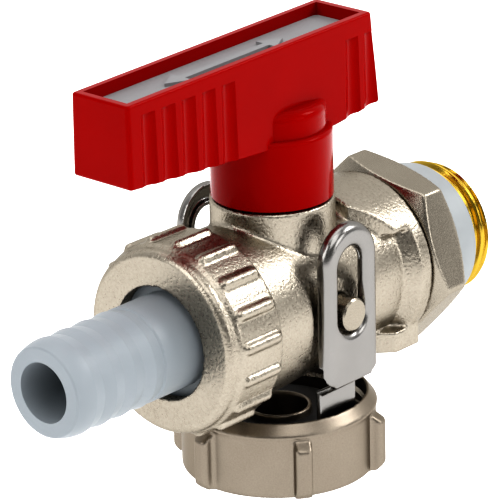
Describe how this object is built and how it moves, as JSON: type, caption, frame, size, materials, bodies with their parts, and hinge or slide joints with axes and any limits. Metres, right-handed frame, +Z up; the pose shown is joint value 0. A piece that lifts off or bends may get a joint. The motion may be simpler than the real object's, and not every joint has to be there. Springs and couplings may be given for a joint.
{
  "type": "drain cock",
  "caption": "Fill and drain ball valve with a red lever, a threaded inlet with lock nut, a barbed hose tail in a union nut, and a captive screw cap on a slotted strap.",
  "frame": {"origin": "centre of the inlet thread's free end, on the flow axis", "axes": "+X out of the inlet along the flow, +Z up the stem, Y across the valve through the strap's pins"},
  "size_m": [0.0867, 0.0311, 0.0678],
  "materials": {
    "blasted_nickel": "blasted nickel plate",
    "satin_nickel": "satin nickel plate",
    "bare_brass": "turned",
    "chromed_ball": "polished",
    "stainless": "satin",
    "red_plastic": "gloss",
    "grey_plastic": "matte",
    "blue_grey_plastic": "satin",
    "white_ptfe": "waxy",
    "black_rubber": "matte"
  },
  "bodies": {
    "valve": {"valve_body": "blasted_nickel", "inlet_nipple": "bare_brass", "seat_front": "white_ptfe", "seat_rear": "white_ptfe"},
    "lever": {"handle": "red_plastic", "handle_insert": "grey_plastic", "handle_screw": "stainless", "stem": "bare_brass", "stem_washer": "white_ptfe", "stem_o_ring_lower": "black_rubber", "stem_o_ring_upper": "black_rubber", "ball": "chromed_ball"},
    "ring": {"seal_ring": "white_ptfe"},
    "lock": {"lock_nut": "satin_nickel"},
    "tail": {"hose_tail": "blue_grey_plastic", "tail_gasket": "black_rubber"},
    "union": {"union_nut": "satin_nickel"},
    "pins": {"pivot_pin_near": "satin_nickel", "pivot_pin_far": "satin_nickel"},
    "strap": {"cap_strap": "stainless"},
    "cap": {"cap": "satin_nickel", "cap_gasket": "black_rubber"}
  },
  "joints": [
    {"name": "lever_turn", "type": "hinge", "parent": "valve", "child": "lever", "pos_m": [-0.0385, 0, 0], "axis": [0, 0, 1], "range_deg": [-90, 0]},
    {"name": "ring_slide", "type": "slide", "parent": "valve", "child": "ring", "axis": [1, 0, 0], "range_m": [0, 0.0037]},
    {"name": "lock_turn", "type": "hinge", "parent": "ring", "child": "lock", "pos_m": [-0.0145, 0, 0], "axis": [1, 0, 0], "range_deg": [0, 720]},
    {"name": "tail_slide", "type": "slide", "parent": "valve", "child": "tail", "axis": [-1, 0, 0], "range_m": [0, 0.0037]},
    {"name": "union_turn", "type": "hinge", "parent": "tail", "child": "union", "pos_m": [-0.0585, 0, 0], "axis": [-1, 0, 0], "range_deg": [0, 720]},
    {"name": "strap_swing", "type": "hinge", "parent": "valve", "child": "pins", "pos_m": [-0.0373, 0, 0], "axis": [0, 1, 0], "range_deg": [-6, 6]},
    {"name": "strap_slide", "type": "slide", "parent": "pins", "child": "strap", "axis": [0, 0, -1], "range_m": [0, 0.0074]},
    {"name": "cap_turn", "type": "hinge", "parent": "strap", "child": "cap", "pos_m": [-0.0373, 0.0007, -0.0222], "axis": [0, 0, 1], "continuous": true}
  ],
  "couplings": [
    {"joint": "ring_slide", "follows": "lock_turn", "m_per_rad": 0.00028871},
    {"joint": "tail_slide", "follows": "union_turn", "m_per_rad": 0.00028871}
  ]
}
